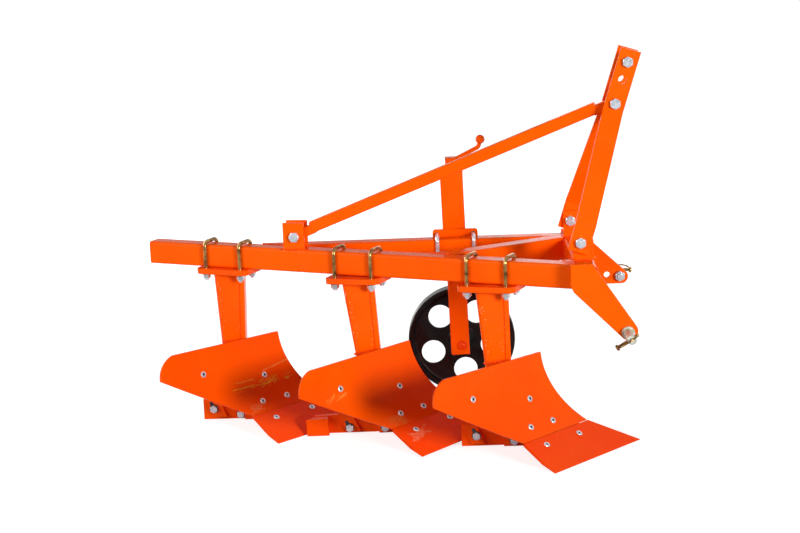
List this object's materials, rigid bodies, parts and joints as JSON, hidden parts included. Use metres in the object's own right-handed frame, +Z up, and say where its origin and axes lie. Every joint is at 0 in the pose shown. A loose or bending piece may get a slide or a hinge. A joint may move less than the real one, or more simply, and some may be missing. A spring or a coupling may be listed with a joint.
{
  "type": "moldboard plough",
  "caption": "Mounted mouldboard plough for a small tractor: slanting box-tube beam with rolled mouldboards and shares, a leaning hitch mast, and a depth wheel on a sliding post.",
  "frame": {"origin": "on the floor plane of the shares, under the middle of the plough's bounding box", "axes": "+X is the direction of travel, +Y the land side (left), +Z up"},
  "size_m": [1.2852, 0.748, 0.9835],
  "materials": {
    "orange_paint": "gloss orange enamel over welded steel, lightly scuffed",
    "yellow_zinc": "yellow-passivated zinc plating",
    "bright_zinc": "bright zinc plating",
    "black_paint": "satin black enamel"
  },
  "bodies": {
    "plough": {"main_beam": "orange_paint", "land_beam": "orange_paint", "brace": "orange_paint", "cross_tube": "orange_paint", "right_arm": "orange_paint", "left_arm": "orange_paint", "mast_bar_right": "orange_paint", "mast_lug_right": "orange_paint", "mast_bar_left": "orange_paint", "mast_lug_left": "orange_paint", "stay": "orange_paint", "stay_bracket": "orange_paint", "share_front": "orange_paint", "share_middle": "orange_paint", "share_rear": "orange_paint", "mouldboard_front": "orange_paint", "mouldboard_middle": "orange_paint", "mouldboard_rear": "orange_paint", "landside_front": "orange_paint", "landside_middle": "orange_paint", "landside_rear": "orange_paint", "leg_front": "orange_paint", "leg_middle": "orange_paint", "leg_rear": "orange_paint", "board_stay_front": "orange_paint", "board_stay_middle": "orange_paint", "board_stay_rear": "orange_paint", "depth_sleeve": "orange_paint", "depth_crank": "orange_paint", "u_bolts_front": "yellow_zinc", "u_bolts_middle": "yellow_zinc", "u_bolts_rear": "yellow_zinc", "right_pin": "bright_zinc", "left_pin": "bright_zinc", "mast_foot_bolts": "bright_zinc", "mast_top_bolt": "bright_zinc", "stay_front_bolt": "bright_zinc", "stay_rear_bolt": "bright_zinc", "depth_u_bolts": "bright_zinc"},
    "wheel_post": {"depth_post": "orange_paint", "wheel_washer": "bright_zinc"},
    "wheel": {"depth_wheel": "black_paint"}
  },
  "joints": [
    {"name": "depth_slide", "type": "slide", "parent": "plough", "child": "wheel_post", "axis": [-0.0209, 0, 0.9998], "range_m": [-0.035, 0.12]},
    {"name": "wheel_spin", "type": "hinge", "parent": "wheel_post", "child": "wheel", "pos_m": [0.18799, 0.34002, 0.18016], "axis": [0, 1, 0], "continuous": true}
  ]
}
